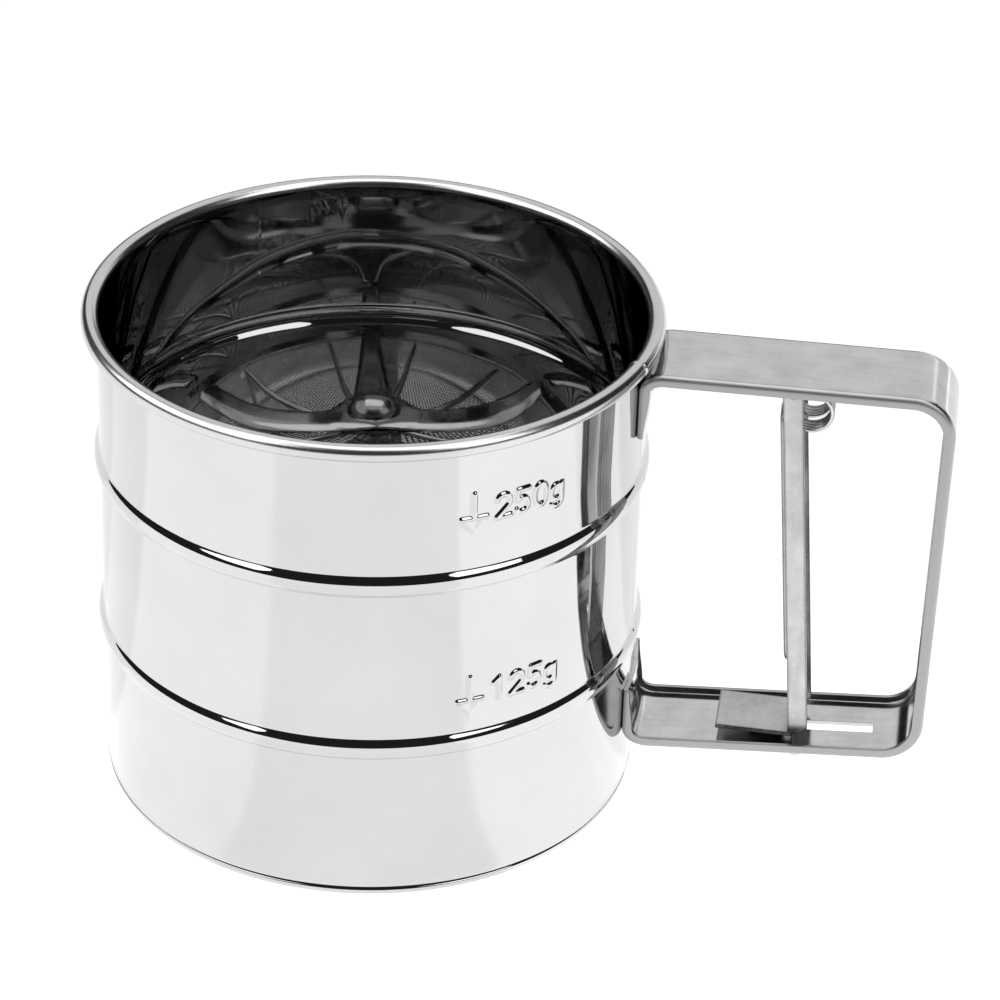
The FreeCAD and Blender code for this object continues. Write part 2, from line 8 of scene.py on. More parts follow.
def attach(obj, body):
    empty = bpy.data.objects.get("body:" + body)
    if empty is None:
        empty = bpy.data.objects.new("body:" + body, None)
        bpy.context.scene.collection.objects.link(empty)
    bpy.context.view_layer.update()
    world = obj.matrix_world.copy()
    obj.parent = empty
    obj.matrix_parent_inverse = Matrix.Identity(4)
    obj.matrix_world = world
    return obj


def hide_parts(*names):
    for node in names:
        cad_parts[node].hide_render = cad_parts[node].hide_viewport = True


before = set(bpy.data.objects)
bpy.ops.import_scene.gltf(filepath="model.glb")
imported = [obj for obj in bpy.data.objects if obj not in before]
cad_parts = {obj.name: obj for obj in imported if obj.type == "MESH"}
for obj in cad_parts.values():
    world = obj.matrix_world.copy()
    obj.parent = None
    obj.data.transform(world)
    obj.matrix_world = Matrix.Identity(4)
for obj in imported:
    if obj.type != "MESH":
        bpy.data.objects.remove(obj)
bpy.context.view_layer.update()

# Sizes are in millimetres, in the frame of the part, and MM turns them into scene metres.
MM = 0.001

# Cup
CUP_R = 50.0
CUP_H = 95.0
SHEET = 0.5
CURL_R = 1.6
CURL_END = -80
BEAD_HEIGHTS = (31.8, 65.9)
BEAD_OUT = 1.0
BEAD_TILT = math.radians(36)
BEAD_CREST_R = 2.5
BEAD_ROOT_R = 0.6
FLARE_OUT = 0.16
FLARE_REACH = 4.5
HEM_H = 1.1
HEM_OUT = 0.15
HOLE_ARC = 6.03
HOLE_Z = 8.1
HOLE_HALF = (2.6, 1.8)
HOLE_R = 1.8
SEAM_ARC = -4.8
JOINT_ARC = -13.1
JOINT_STEP = 0.16
# Painted shade: the inside of the cup is coloured this darker steel, so it reads darker than the
# outside.
INSIDE_PAINTED_SHADE = (0.37, 0.37, 0.37, 1)
RIM_ROUGH = 0.2
# Painted shade: rounded edges of the trigger and other sheet parts are coloured this dark grey,
# standing in for the dark studio they reflect.
EDGE_PAINTED_SHADE = (0.1, 0.1, 0.1, 1)
# Painted shade: the handle strip's flanges are coloured this flat darker grey, so its sides read darker
# than its top.
FLANGE_PAINTED_SHADE = (0.36, 0.36, 0.36, 1)

# Fill marks pressed into the wall: first letter's left edge along the wall, then the line it stands on
MARK_TALL = 4.8
MARK_WIDE = 3.3
MARK_PITCH = 3.75
MARK_RAISE = 0.4
MARK_HALF = 0.55
MARK_GRID = 0.2
MARK_ARC = -48.5
MARK_LINES = {"250g": 77.1, "125g": 39.4}
ARROW_ARC = -52.4

# Unevenness of the thin sheet, and the lap and weld spots of its side seam
SWELL = 0.05
RIPPLE = 0.022
LAP_STEP = 0.09
SEAM_SPOT = 0.025
SEAM_PITCH = 2.2

# Handle strip
STRIP_TAPER = 9.0
WELD_DEEP = 0.22
WELD_RIM = 0.1
WELD_R = 0.9
WELD_RIM_R = 1.7
STRIP_T = 0.8
STRIP_HALF = 9.4
STRIP_BEND = 1.1
FLANGE_D = 2.1
FLANGE_END_D = 1.25
TOP_Z = 90.2
OUTER_X_TOP = 106.0
OUTER_X_BOTTOM = 105.1
BOTTOM_Z_OUTER = 13.43
BOTTOM_Z_CUP = 10.17
CORNER_R = 8.0
TAB_BEND = 3.8
UPPER_TAB_END = 77.0
LOWER_TAB_END = 22.6
SLOT_LEFT = 79.3
SLOT_RIGHT = 96.0
SLOT_HALF = 1.5

# Trigger pivot and spring
PIVOT_X = 76.7
PIVOT_Z = 87.0
COIL_X = 80.0
COIL_Z = 82.9
COIL_R = 3.75
COIL_WIRE = 0.42
COIL_TURNS = 3.5
COIL_PITCH = 1.0
COIL_OUTER_Y = 4.6

# Screen and agitator
SCREEN_Z = 12.0
SCREEN_R = 47.6
SCREEN_HOLE_R = 4.2
SCREEN_CREASES = ((29.0, 1.6, 0.45), (38.0, 5.0, 0.25))
WEAVE_PITCH = 0.85
WEAVE_WIRE = 0.19
WEAVE_WAVE = 0.13
ARM_Z = 14.4
ARM_T = 0.7
ARM_HALF = 4.5
ARM_REACH = 46.0
ARM_TIP_R = 2.5
ARM_FILLET = 14.0
ARM_CROWN = 1.0
ARM_COUNT = 3
ARM_ANGLE = 41.0
HUB_HOLE_R = 2.7
HUB_RISE = 0.6
HUB_R = 9.0


# Studio: light paper that glows, its glow painted brighter and darker by sector as painted light and
# shade; the sectors, from the back round by the left, end at these angles
CAMERA_HEADING = math.radians(7.077)
FLOOR_PAINTED_LIGHT_SECTORS = (
    (-120, 0.62),
    (-92, 0.74),
    (-33, 0.88),
    (33, 0.78),
    (84, 0.92),
    (112, 0.78),
    (180, 0.62),
)
FLOOR_SHINE = 1.2
FLOOR_HALF = 6.0
CARD_FAR = 1.3


# ---------------------------------------------------------------- meshes


def piece(name, points, faces, material, body, replaced):
    """A mesh from points in millimetres, which rides on a body and stands for some nodes."""
    mesh = bpy.data.meshes.new(name)
    mesh.from_pydata([tuple(c * MM for c in p) for p in points], [], faces)
    build = bmesh.new()
    build.from_mesh(mesh)
    bmesh.ops.recalc_face_normals(build, faces=build.faces)
    build.to_mesh(mesh)
    build.free()
    mesh.polygons.foreach_set("use_smooth", [True] * len(mesh.polygons))
    mesh.materials.append(material)
    thing = bpy.data.objects.new(name, mesh)
    bpy.context.scene.collection.objects.link(thing)
    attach(thing, body)
    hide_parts(*replaced)
    return thing


def graded(low, high, coarse, zones):
    """Values from low to high in coarse steps, finer inside each (start, end, step) zone."""
    values = []
    at = low
    for start, end, step in sorted(zones) + [(high, high, coarse)]:
        count = math.ceil((start - at) / coarse)
        values += [at + (start - at) * k / count for k in range(count)]
        count = max(1, round((end - start) / step))
        if end > start:
            values += [start + (end - start) * k / count for k in range(count)]
        at = end
    return values + [high]


def arc_points(cx, cz, radius, start, end, count):
    """count + 1 points on an arc, angles in degrees."""
    turns = [math.radians(start + (end - start) * k / count) for k in range(count + 1)]
    return [(cx + radius * math.cos(a), cz + radius * math.sin(a)) for a in turns]


def sharpen(thing, angle, width, segments=2):
    bevel = thing.modifiers.new("edge", "BEVEL")
    bevel.width = width * MM
    bevel.segments = segments
    bevel.limit_method = "ANGLE"
    bevel.angle_limit = math.radians(angle)
    bevel.harden_normals = True


# ---------------------------------------------------------------- materials


def node(tree, kind, **values):
    made = tree.nodes.new(kind)
    for key, value in values.items():
        if key in made.inputs:
            made.inputs[key].default_value = value
        else:
            setattr(made, key, value)
    return made


def noise(tree, source, stretch, scale, detail=3.0, rough=0.55):
    """Noise over a vector, stretched so that it runs long where stretch is small."""
    move = node(tree, "ShaderNodeMapping")
    move.inputs["Scale"].default_value = stretch
    tree.links.new(source, move.inputs["Vector"])
    made = node(tree, "ShaderNodeTexNoise", Scale=scale, Detail=detail, Roughness=rough)
    tree.links.new(move.outputs["Vector"], made.inputs["Vector"])
    return made.outputs["Fac"]


def remap(tree, source, low, high, start=0.3, end=0.7):
    made = node(tree, "ShaderNodeMapRange")
    made.inputs["From Min"].default_value = start
    made.inputs["From Max"].default_value = end
    made.inputs["To Min"].default_value = low
    made.inputs["To Max"].default_value = high
    tree.links.new(source, made.inputs["Value"])
    return made.outputs["Result"]


def tint(tree, source, dark, light):
    """A colour between two, by a factor from 0 to 1."""
    made = node(tree, "ShaderNodeMix", data_type="RGBA")
    made.inputs["A"].default_value = dark + (1,)
    made.inputs["B"].default_value = light + (1,)
    tree.links.new(source, made.inputs["Factor"])
    return made.outputs["Result"]


def bump(tree, source, strength, depth):
    made = node(tree, "ShaderNodeBump", Strength=strength, Distance=depth * MM)
    tree.links.new(source, made.inputs["Height"])
    return made.outputs["Normal"]


def metal(name):
    """An empty metal: its tree, its shader and where the surface is, in metres."""
    made = bpy.data.materials.new(name)
    made.use_nodes = True
    tree = made.node_tree
    shader = tree.nodes["Principled BSDF"]
    shader.inputs["Metallic"].default_value = 1.0
    place = node(tree, "ShaderNodeTexCoord").outputs["Object"]
    return made, tree, shader, place


def polished_steel(name, dark, light, low, high, dents, inside_shade_and_rim=None):
    """Mirror steel: faint clouding, polishing haze and shallow dents.

    The attribute named by the last argument, where there is one, holds how far inside the cup a point
    is and
    how far onto its rim: the inside is coloured a darker steel, a painted shade for the deep cup, and
    the rim is brushed.
    """
    made, tree, shader, place = metal(name)
    cloud = noise(tree, place, (1, 1, 1), 35, 4)
    haze = noise(tree, place, (1, 1, 0.15), 420, 3)
    colour = tint(tree, remap(tree, cloud, 0, 1), dark, light)
    rough = remap(tree, haze, low, high)
    if inside_shade_and_rim:
        part = node(tree, "ShaderNodeSeparateXYZ")
        store = node(tree, "ShaderNodeAttribute", attribute_name=inside_shade_and_rim)
        tree.links.new(store.outputs["Vector"], part.inputs[0])
        # Painted shade: inside the cup the colour turns to the darker steel.
        dark_inside_mix = node(tree, "ShaderNodeMix", data_type="RGBA")
        dark_inside_mix.inputs["B"].default_value = INSIDE_PAINTED_SHADE
        tree.links.new(part.outputs["X"], dark_inside_mix.inputs["Factor"])
        tree.links.new(colour, dark_inside_mix.inputs["A"])
        colour = dark_inside_mix.outputs["Result"]
        brushed = node(tree, "ShaderNodeMath", operation="MULTIPLY_ADD")
        brushed.inputs[1].default_value = RIM_ROUGH
        tree.links.new(part.outputs["Y"], brushed.inputs[0])
        tree.links.new(rough, brushed.inputs[2])
        rough = brushed.outputs[0]
    tree.links.new(colour, shader.inputs["Base Color"])
    tree.links.new(rough, shader.inputs["Roughness"])
    dent = noise(tree, place, (1, 1, 1), 55, 2)
    tree.links.new(bump(tree, dent, dents, 0.12), shader.inputs["Normal"])
    return made


def satin_steel(name, dark, light, low, high, grain, coordinate=None, painted_shade_edge_wide=0.0):
    """Rolled sheet: fine grain along the strip, soft stains and rubbed patches, with painted shade
    where asked: darker flanges and dark edges.
    """
    made, tree, shader, place = metal(name)
    rough = None
    if coordinate:
        place = node(tree, "ShaderNodeAttribute", attribute_name=coordinate).outputs["Vector"]
        split = node(tree, "ShaderNodeSeparateXYZ")
        tree.links.new(place, split.inputs[0])
        side = node(tree, "ShaderNodeMath", operation="ABSOLUTE")
        tree.links.new(split.outputs["Y"], side.inputs[0])
        edge = (STRIP_HALF - STRIP_BEND) * MM
        rough = remap(tree, side.outputs[0], low, high, edge, edge + 0.0008)
        flange_shade_mask = remap(tree, side.outputs[0], 1, 0, edge, edge + 0.001)
    lines = noise(tree, place, grain, 900, 2, 0.6)
    patch = noise(tree, place, (1, 1, 1), 130, 5, 0.6)
    stain = noise(tree, place, (1, 1, 1), 420, 6, 0.7)
    tone = node(tree, "ShaderNodeMath", operation="ADD")
    tree.links.new(remap(tree, patch, 0, 0.75, 0.35, 0.65), tone.inputs[0])
    tree.links.new(remap(tree, lines, 0, 0.25), tone.inputs[1])
    spots = node(tree, "ShaderNodeMath", operation="MULTIPLY")
    tree.links.new(tone.outputs[0], spots.inputs[0])
    tree.links.new(remap(tree, stain, 0.35, 1, 0.3, 0.37), spots.inputs[1])
    colour = tint(tree, spots.outputs[0], dark, light)
    if coordinate:
        # Painted shade: on the flanges the colour is a flat darker grey.
        shade = node(tree, "ShaderNodeMix", data_type="RGBA")
        shade.inputs["A"].default_value = FLANGE_PAINTED_SHADE
        tree.links.new(flange_shade_mask, shade.inputs["Factor"])
        tree.links.new(colour, shade.inputs["B"])
        colour = shade.outputs["Result"]
    # Painted shade: where the bevel node finds a rounded edge, the colour turns dark grey, standing in
    # for the dark studio the edge reflects.
    if painted_shade_edge_wide:
        round_off = node(tree, "ShaderNodeBevel", samples=6)
        round_off.inputs["Radius"].default_value = painted_shade_edge_wide * MM
        face = node(tree, "ShaderNodeNewGeometry")
        same = node(tree, "ShaderNodeVectorMath", operation="DOT_PRODUCT")
        tree.links.new(round_off.outputs[0], same.inputs[0])
        tree.links.new(face.outputs["Normal"], same.inputs[1])
        shade = node(tree, "ShaderNodeMix", data_type="RGBA")
        shade.inputs["A"].default_value = EDGE_PAINTED_SHADE
        tree.links.new(remap(tree, same.outputs["Value"], 0, 1, 0.86, 0.99), shade.inputs["Factor"])
        tree.links.new(colour, shade.inputs["B"])
        colour = shade.outputs["Result"]
    tree.links.new(colour, shader.inputs["Base Color"])
    tree.links.new(rough or remap(tree, patch, low, high), shader.inputs["Roughness"])
    tree.links.new(bump(tree, lines, 0.3, 0.015), shader.inputs["Normal"])
    return made


def drawn_wire(name, dark, light, low, high):
    """Bright drawn wire with fine scuffs."""
    made, tree, shader, place = metal(name)
    scuff = noise(tree, place, (1, 1, 1), 700, 4, 0.65)
    patch = noise(tree, place, (1, 1, 1), 160, 3)
    colour = tint(tree, remap(tree, patch, 0, 1), dark, light)
    tree.links.new(colour, shader.inputs["Base Color"])
    tree.links.new(remap(tree, scuff, low, high), shader.inputs["Roughness"])
    tree.links.new(bump(tree, scuff, 0.2, 0.02), shader.inputs["Normal"])
    return made


# ---------------------------------------------------------------- cup


def bead_out(z):
    """How far the wall stands out at a height, by its two beads and the pull beside them."""
    out = 0.0
    crest_run, root_run = (r * math.sin(BEAD_TILT) for r in (BEAD_CREST_R, BEAD_ROOT_R))
    crest_rise, root_rise = (r * (1 - math.cos(BEAD_TILT)) for r in (BEAD_CREST_R, BEAD_ROOT_R))
    flank_out = BEAD_OUT - crest_rise - root_rise
    half = crest_run + root_run + flank_out / math.tan(BEAD_TILT)
    for height in BEAD_HEIGHTS:
        off = abs(z - height)
        bead = 0.0
        if off < crest_run:
            bead = BEAD_OUT - BEAD_CREST_R + math.sqrt(BEAD_CREST_R**2 - off**2)
        elif off < half - root_run:
            bead = BEAD_OUT - crest_rise - (off - crest_run) * math.tan(BEAD_TILT)
        elif off < half:
            bead = BEAD_ROOT_R - math.sqrt(BEAD_ROOT_R**2 - (half - off) ** 2)
        out += bead * (1 - FLARE_OUT) + FLARE_OUT * math.exp(-((off / FLARE_REACH) ** 2))
    return out


def ellipse(cx, cy, rx, ry, start, end):
    count = 14
    turns = [math.radians(start + (end - start) * k / count) for k in range(count + 1)]
    return [(cx + rx * math.cos(a), cy + ry * math.sin(a)) for a in turns]


GLYPHS = {
    "0": [ellipse(0.5, 0.5, 0.4, 0.46, 0, 360)],
    "1": [[(0.18, 0.74), (0.55, 0.96), (0.55, 0.04)]],
    "2": [ellipse(0.48, 0.68, 0.4, 0.28, 165, -35) + [(0.08, 0.04), (0.92, 0.04)]],
    "5": [[(0.88, 0.96), (0.22, 0.96), (0.14, 0.55)] + ellipse(0.46, 0.33, 0.4, 0.29, 130, -145)],
    "g": [
        ellipse(0.42, 0.35, 0.34, 0.3, 0, 360),
        [(0.82, 0.64)] + ellipse(0.44, 0.0, 0.38, 0.24, 0, -150),
    ],
}


def mark_strokes(text, base):
    """Pressed lines of one mark, as (points, height) with points along and up the wall."""
    strokes = []
    for place, letter in enumerate(text):
        left = MARK_ARC + place * MARK_PITCH
        for line in GLYPHS[letter]:
            points = [(left + u * MARK_WIDE, base + v * MARK_TALL) for u, v in line]
            strokes.append((points, 1.0))
    bar = base + 1.0
    strokes.append(([(ARROW_ARC, bar + 4.8), (ARROW_ARC, bar + 0.6)], 1.0))
    strokes.append(([(ARROW_ARC - 2.4, bar), (ARROW_ARC - 0.5, bar)], 1.0))
    strokes.append(([(ARROW_ARC + 0.5, bar), (ARROW_ARC + 2.4, bar)], 1.0))
    point = [(ARROW_ARC - 1.5, bar - 1.0), (ARROW_ARC, bar - 2.4), (ARROW_ARC + 1.5, bar - 1.0)]
    strokes.append((point, 0.5))
    return strokes


def distance_to_line(x, y, a, b):
    run = (b[0] - a[0], b[1] - a[1])
    length = run[0] ** 2 + run[1] ** 2
    along = ((x - a[0]) * run[0] + (y - a[1]) * run[1]) / length
    along = min(1.0, max(0.0, along))
    return math.hypot(x - a[0] - along * run[0], y - a[1] - along * run[1])


def pressed(along, z, strokes):
    """Height of the pressed marks at a place on the wall."""
    best = 0.0
    for points, height in strokes:
        if not min(p[0] for p in points) - 1 < along < max(p[0] for p in points) + 1:
            continue
        if not min(p[1] for p in points) - 1 < z < max(p[1] for p in points) + 1:
            continue
        near = min(distance_to_line(along, z, a, b) for a, b in zip(points[:-1], points[1:]))
        share = max(0.0, 1 - near / (MARK_HALF + 0.25))
        best = max(best, height * share * share * (3 - 2 * share))
    return best * MARK_RAISE


def wave(along, z):
    """Slow unevenness of the thin sheet; it fades towards the rim and the hem."""
    turn = along / CUP_R
    fade = math.sin(math.pi * min(1.0, max(0.0, z / CUP_H)))
    swell = math.sin(3 * turn + 0.6) * math.cos(z / 14 + 1.2 * math.sin(2 * turn))
    ripple = math.sin(11 * turn + z / 9) * math.cos(5 * turn - z / 17)
    return fade * (SWELL * swell + RIPPLE * ripple)


def seam(along, z):
    """Lap of the sheet where its ends are welded, with its row of weld spots."""
    off = along - SEAM_ARC
    if abs(off) > 6:
        return 0.0
    step = LAP_STEP / (1 + math.exp(-off / 0.18)) * math.exp(-((off - 0.4) ** 2) / 3)
    spot = SEAM_SPOT * math.exp(-((off / 0.5) ** 2)) * math.cos(math.tau * z / SEAM_PITCH)
    return step + spot


def hole_warp(along, z):
    """Pull the grid round the link hole onto the hole's oblong edge."""
    u = (along - HOLE_ARC) / HOLE_HALF[0]
    v = (z - HOLE_Z) / HOLE_HALF[1]
    reach = max(abs(u), abs(v))
    if reach < 0.99 or reach > 2:
        return along, z
    edge = (u / reach * HOLE_HALF[0], v / reach * HOLE_HALF[1])
    straight = HOLE_HALF[0] - HOLE_R
    low, high = 0.2, 1.0
    for _ in range(24):
        middle = (low + high) / 2
        x, y = edge[0] * middle, edge[1] * middle
        inside = math.hypot(max(0.0, abs(x) - straight), y) < HOLE_R
        low, high = (middle, high) if inside else (low, middle)
    scale = 1 + (low - 1) * (2 - reach)
    return HOLE_ARC + (along - HOLE_ARC) * scale, HOLE_Z + (z - HOLE_Z) * scale


def cup_shell(material):
    strokes = [stroke for text, base in MARK_LINES.items() for stroke in mark_strokes(text, base)]
    bead_zones = [(h - 3.0, h + 3.0, 0.2) for h in BEAD_HEIGHTS]
    mark_zones = [(base - 2.0, base + 6.6, MARK_GRID) for base in MARK_LINES.values()]
    hole_zone = (HOLE_Z - HOLE_HALF[1], HOLE_Z + HOLE_HALF[1], 0.4)
    skirt = [(hole_zone[0] - 2, hole_zone[0], 0.5), hole_zone, (hole_zone[1], hole_zone[1] + 2, 0.5)]
    heights = graded(HEM_H, CUP_H - CURL_R, 2.5, bead_zones + mark_zones + skirt)
    girth = math.tau * CUP_R
    hole_cols = (HOLE_ARC - HOLE_HALF[0], HOLE_ARC + HOLE_HALF[0], 0.4)
    col_zones = [
        (ARROW_ARC - 3.2, MARK_ARC + 4 * MARK_PITCH + 0.4, MARK_GRID),
        (JOINT_ARC - 1.0, JOINT_ARC + 1.0, 0.15),
        (SEAM_ARC - 1.6, SEAM_ARC + 1.8, 0.25),
        (hole_cols[0] - 3, hole_cols[0], 0.5),
        hole_cols,
        (hole_cols[1], hole_cols[1] + 3, 0.5),
    ]
    columns = graded(-girth / 2, girth / 2, 1.8, col_zones)[:-1]

    curl = (CUP_R - SHEET + CURL_R, CUP_H - CURL_R)
    curl_in = arc_points(*curl, CURL_R - SHEET, 180, CURL_END, 22)[1:]
    curl_out = arc_points(*curl, CURL_R, CURL_END, 180, 30)[:-1]
    hem_r = CUP_R + HEM_OUT
    hem = [(CUP_R - SHEET, 0.3), (CUP_R - SHEET + 0.1, 0.06), (CUP_R - 0.3, 0), (CUP_R - 0.05, 0)]
    hem += [(hem_r - 0.04, 0.07), (hem_r, 0.25), (hem_r, HEM_H - HEM_OUT), (hem_r - 0.1, HEM_H - 0.04)]

    rows = []
    for z in heights:
        rows.append(("outer", z))
    rows += [("curl", p) for p in curl_in + curl_out]
    for z in reversed(heights):
        rows.append(("inner", z))
    rows += [("hem", p) for p in hem]

    points = []
    inside_shade_and_rim = []
    for kind, value in rows:
        for along in columns:
            if kind in ("outer", "inner"):
                place, z = hole_warp(along, value)
                lift = wave(place, z) + pressed(place, z, strokes) + seam(place, z)
                fade = min(1.0, (CUP_H - CURL_R - z) / 4, z / 3)
                radius = CUP_R + bead_out(z) + lift * fade
                if kind == "inner":
                    radius -= SHEET
            else:
                place = along
                radius, z = value
                groove = math.exp(-(((along - JOINT_ARC) / 0.25) ** 2))
                lapped = JOINT_ARC < along < -JOINT_ARC
                swell = JOINT_STEP * (1 - along / -JOINT_ARC) / 2 if lapped else 0.0
                radius += (swell - 0.3 * groove) * (kind == "curl")
            turn = place / CUP_R
            points.append((radius * math.cos(turn), radius * math.sin(turn), z))
            inside_shade_and_rim += [float(kind == "inner"), float(kind == "curl"), 0.0]

    wide = len(columns)
    tall = len(rows)
    faces = []
    holes = set()
    for row in range(tall):
        after = (row + 1) % tall
        for column in range(wide):
            right = (column + 1) % wide
            kinds = {rows[row][0], rows[after][0]}
            if kinds <= {"outer"} or kinds <= {"inner"}:
                z = (rows[row][1] + rows[after][1]) / 2
                along = (columns[column] + columns[column - wide + 1]) / 2
                inside = abs(along - HOLE_ARC) < HOLE_HALF[0] and abs(z - HOLE_Z) < HOLE_HALF[1]
                if inside:
                    holes.add((row, column))
                    continue
            low, high = row * wide, after * wide
            faces.append((low + column, low + right, high + right, high + column))
    faces += hole_edge(holes, rows, wide)
    made = piece("cup_shell", points, faces, material, "cup", ["cup_body"])
    made.data.attributes.new("inside_shade_and_rim", "FLOAT_VECTOR", "POINT").data.foreach_set("vector", inside_shade_and_rim)


def hole_edge(holes, rows, wide):
    """The hole's narrow wall through the sheet, from its outer edge to its inner one."""
    count = sum(1 for kind, _ in rows if kind == "outer")
    last_inner = max(k for k, (kind, _) in enumerate(rows) if kind == "inner")
    outer_cells = {cell for cell in holes if cell[0] < count}
    faces = []
    for row, column in outer_cells:
        edges = {
            (row - 1, column): ((row, column), (row, column + 1)),
            (row + 1, column): ((row + 1, column), (row + 1, column + 1)),
            (row, column - 1): ((row, column), (row + 1, column)),
            (row, column + 1): ((row, column + 1), (row + 1, column + 1)),
        }
        for beside, (a, b) in edges.items():
            if beside in outer_cells:
                continue
            mates = [(last_inner - r, c) for r, c in (b, a)]
            faces.append(tuple(r * wide + c for r, c in [a, b] + mates))
    return faces


# ---------------------------------------------------------------- handle


def strip_route():
    """Stations along the strip's outer face, as (x, z, inward x, inward z, length)."""
    corners = [
        ((CUP_R, UPPER_TAB_END), 0),
        ((CUP_R, TOP_Z), TAB_BEND),
        ((OUTER_X_TOP, TOP_Z), CORNER_R),
        ((OUTER_X_BOTTOM, BOTTOM_Z_OUTER), CORNER_R),
        ((CUP_R, BOTTOM_Z_CUP), TAB_BEND),
        ((CUP_R, LOWER_TAB_END), 0),
    ]
    spots = [Vector(p) for p, _ in corners]
    stations = []
    length = 0.0
    last = spots[0]

    def straight(a, b, length):
        run = (b - a).length
        along = (b - a).normalized()
        inward = Vector((along.y, -along.x))
        step = 0.5 if abs(along.x) < 0.1 and run < 12 else 1.5
        stops = [k * run / math.ceil(run / step) for k in range(math.ceil(run / step) + 1)]
        if a.y < TOP_Z / 2 and abs(along.x) > 0.9:
            for x in (SLOT_LEFT, SLOT_RIGHT):
                want = (x - a.x) / along.x
                near = min(range(len(stops)), key=lambda k: abs(stops[k] - want))
                stops[near] = want
        for stop in stops:
            p = a + along * stop
            stations.append((p.x, p.y, inward.x, inward.y, length + stop))
        return length + run

    for here, before, after, (_, radius) in zip(spots[1:-1], spots[:-2], spots[2:], corners[1:-1]):
        back = (before - here).normalized()
        ahead = (after - here).normalized()
        half = back.angle(ahead) / 2
        cut = radius / math.tan(half)
        middle = (back + ahead).normalized()
        centre = here + middle * (radius / math.sin(half))
        start = here + back * cut
        length = straight(last, start, length)
        sweep = math.pi - 2 * half
        first = start - centre
        count = 16
        for k in range(1, count):
            turned = first.copy()
            turned.rotate(Matrix.Rotation(-sweep * k / count, 2))
            p = centre + turned
            inward = -turned.normalized()
            stations.append((p.x, p.y, inward.x, inward.y, length + radius * sweep * k / count))
        length += radius * sweep
        last = here + ahead * cut
    straight(last, spots[-1], length)
    return stations


def channel_section(depth):
    """Matching outer and inner points (across, depth) of the strip's channel."""
    half = STRIP_HALF
    bend = STRIP_BEND
    flat = half - bend
    inner_bend = bend - STRIP_T
    step = 1.0
    count = round((flat - SLOT_HALF) / step)
    side = [SLOT_HALF + (flat - SLOT_HALF) * k / count for k in range(count + 1)]
    across = [-y for y in reversed(side)] + side
    web_out = [(y, 0.0) for y in across]
    web_in = [(y, STRIP_T) for y in across]
    corner_out = []
    corner_in = []
    for k in range(1, 7):
        turn = math.radians(90 * k / 6)
        corner_out.append((flat + bend * math.sin(turn), bend * (1 - math.cos(turn))))
        corner_in.append((flat + inner_bend * math.sin(turn), bend - inner_bend * math.cos(turn)))
    for k in (1, 2):
        low = bend + (depth - bend) * k / 2
        corner_out.append((half, low))
        corner_in.append((half - STRIP_T, low))
    mirror_out = [(-y, d) for y, d in reversed(corner_out)]
    mirror_in = [(-y, d) for y, d in reversed(corner_in)]
    return mirror_out + web_out + corner_out, mirror_in + web_in + corner_in


WELDS = [(y, z) for z in (UPPER_TAB_END + 3.4, LOWER_TAB_END - 3.6) for y in (-4.6, 4.6)]


def weld_dent(y, z):
    """Spot-weld dimples with a raised rim, on the tabs' free faces."""
    dent = 0.0
    for wy, wz in WELDS:
        off = math.hypot(y - wy, z - wz)
        dent += WELD_DEEP * math.exp(-((off / WELD_R) ** 2))
        dent -= WELD_RIM * math.exp(-(((off - WELD_RIM_R) / 0.4) ** 2))
    return dent


def handle_strip(material):
    stations = strip_route()
    total = stations[-1][4]
    points = []
    grain = []
    for x, z, nx, nz, length in stations:
        ends = min(length, total - length)
        share = min(1.0, ends / STRIP_TAPER)
        share = share * share * (3 - 2 * share)
        depth = FLANGE_END_D + (FLANGE_D - FLANGE_END_D) * share
        outer, inner = channel_section(depth)
        hug = max(0.0, min(1.0, (CUP_R + TAB_BEND - x) / TAB_BEND))
        for face, ring in enumerate((outer, inner)):
            for y, d in ring:
                sag = (CUP_R - math.sqrt(CUP_R**2 - y * y)) * hug
                push = -weld_dent(y, z) if face and hug > 0.9 and abs(y) < 8 else 0.0
                along = d + push
                points.append((x + nx * along - sag, y, z + nz * along))
                grain.append((length * MM, y * MM, d * MM))
    ring = len(channel_section(FLANGE_D)[0])
    step = 2 * ring
    left = next(k for k, (y, _) in enumerate(channel_section(FLANGE_D)[0]) if abs(y + SLOT_HALF) < 1e-6)
    faces = []
    for k in range(len(stations) - 1):
        a = k * step
        b = a + step
        middle_x = (stations[k][0] + stations[k + 1][0]) / 2
        slotted = stations[k][1] < TOP_Z / 2 and SLOT_LEFT < middle_x < SLOT_RIGHT
        slotted = slotted and abs(stations[k][0] - stations[k + 1][0]) > 0.1
        for j in range(ring - 1):
            if slotted and j == left:
                continue
            faces.append((a + j, a + j + 1, b + j + 1, b + j))
            faces.append((a + ring + j, b + ring + j, b + ring + j + 1, a + ring + j + 1))
        if slotted:
            for j in (left, left + 1):
                faces.append((a + j, b + j, b + ring + j, a + ring + j))
        for j in (0, ring - 1):
            faces.append((a + j, b + j, b + ring + j, a + ring + j))
    for k in (0, len(stations) - 1):
        a = k * step
        faces += [(a + j, a + j + 1, a + ring + j + 1, a + ring + j) for j in range(ring - 1)]
    for x in (SLOT_LEFT, SLOT_RIGHT):
        near = [k for k, s in enumerate(stations) if s[1] < TOP_Z / 2 and abs(s[0] - x) < 1e-3]
        a = near[0] * step
        faces.append((a + left, a + left + 1, a + ring + left + 1, a + ring + left))
    made = piece("handle_strip", points, faces, material, "cup", ["handle"])
    store = made.data.attributes.new("grain", "FLOAT_VECTOR", "POINT")
    store.data.foreach_set("vector", [c for p in grain for c in p])
    sharpen(made, 50, 0.16)
    return made


# ---------------------------------------------------------------- wires


